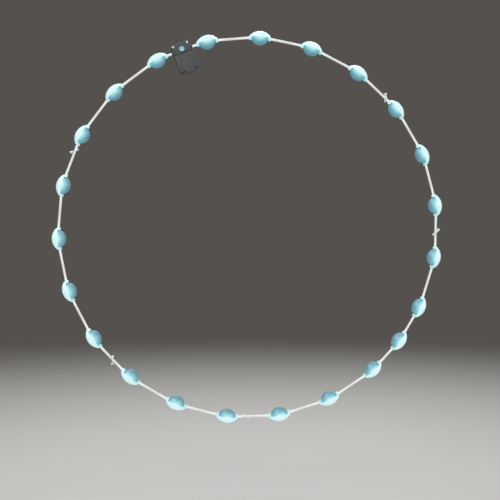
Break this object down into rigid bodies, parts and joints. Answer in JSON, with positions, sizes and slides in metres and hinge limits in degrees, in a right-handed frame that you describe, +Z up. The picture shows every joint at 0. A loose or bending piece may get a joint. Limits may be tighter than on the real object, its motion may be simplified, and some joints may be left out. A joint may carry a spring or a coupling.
{
  "type": "spoke wheel light",
  "caption": "Ring of oval lamps on a glowing cable, tied to a bicycle wheel's spokes, with a coin-cell battery case that clamps to one spoke.",
  "frame": {"origin": "on the wheel's axle, in the wheel's middle plane, where the wheel holds the ring", "axes": "+Z up, +X towards the front of the bicycle, +Y along the axle, away from the lit side"},
  "size_m": [0.5067, 0.0192, 0.5067],
  "materials": {
    "lens": "frosted clear plastic, lit cyan from inside",
    "lamp_case": "milky plastic, lit white from inside",
    "cable": "soft milky cable, lit nearly white",
    "strip_board": "white circuit board",
    "led": "phosphor window",
    "tie_nylon": "natural nylon",
    "case": "fine-grained dark plastic",
    "clamp": "fine-grained dark plastic",
    "screw": "bright steel",
    "seal": "soft silicone rubber",
    "contact": "nickel-plated spring metal",
    "cell": "plain steel can",
    "control_board": "green circuit board",
    "chip": "moulded black",
    "plunger": "white moulding",
    "button": "satin silicone, pale blue"
  },
  "bodies": {
    "light": {"lamp_lens_01": "lens", "lamp_lens_02": "lens", "lamp_lens_03": "lens", "lamp_lens_04": "lens", "lamp_lens_05": "lens", "lamp_lens_06": "lens", "lamp_lens_07": "lens", "lamp_lens_08": "lens", "lamp_lens_09": "lens", "lamp_lens_10": "lens", "lamp_lens_11": "lens", "lamp_lens_12": "lens", "lamp_lens_13": "lens", "lamp_lens_14": "lens", "lamp_lens_15": "lens", "lamp_lens_16": "lens", "lamp_lens_17": "lens", "lamp_lens_18": "lens", "lamp_lens_19": "lens", "lamp_lens_20": "lens", "lamp_lens_21": "lens", "lamp_lens_22": "lens", "lamp_lens_23": "lens", "spoke_tie_1": "tie_nylon", "spoke_tie_2": "tie_nylon", "spoke_tie_3": "tie_nylon", "spoke_tie_4": "tie_nylon", "spoke_tie_5": "tie_nylon", "lamp_cases": "lamp_case", "led_boards": "strip_board", "led_chips": "led", "string_cable": "cable", "case_tub": "case", "case_cover": "case", "spoke_clamp": "clamp", "cover_screws": "screw", "clamp_screws": "screw", "hinge_pin": "screw", "cable_grommets": "seal", "door_gasket": "seal", "button_seal": "seal", "cell_spring": "contact", "coin_cell_1": "cell", "coin_cell_2": "cell", "control_board": "control_board", "driver_chip": "chip", "board_resistors": "chip", "switch_body": "chip"},
    "door": {"battery_door": "case", "door_contact": "contact"},
    "button": {"button_cap": "button", "switch_plunger": "plunger"}
  },
  "joints": [
    {"name": "door_hinge", "type": "hinge", "parent": "light", "child": "door", "pos_m": [-0.07693, -0.02077, 0.2004], "axis": [0.9336, 0, 0.3584], "range_deg": [0, 105]},
    {"name": "button_press", "type": "slide", "parent": "light", "child": "button", "axis": [0.0437, 0.9925, -0.1138], "range_m": [0, 0.0008], "stiffness_N_per_m": 2000}
  ]
}
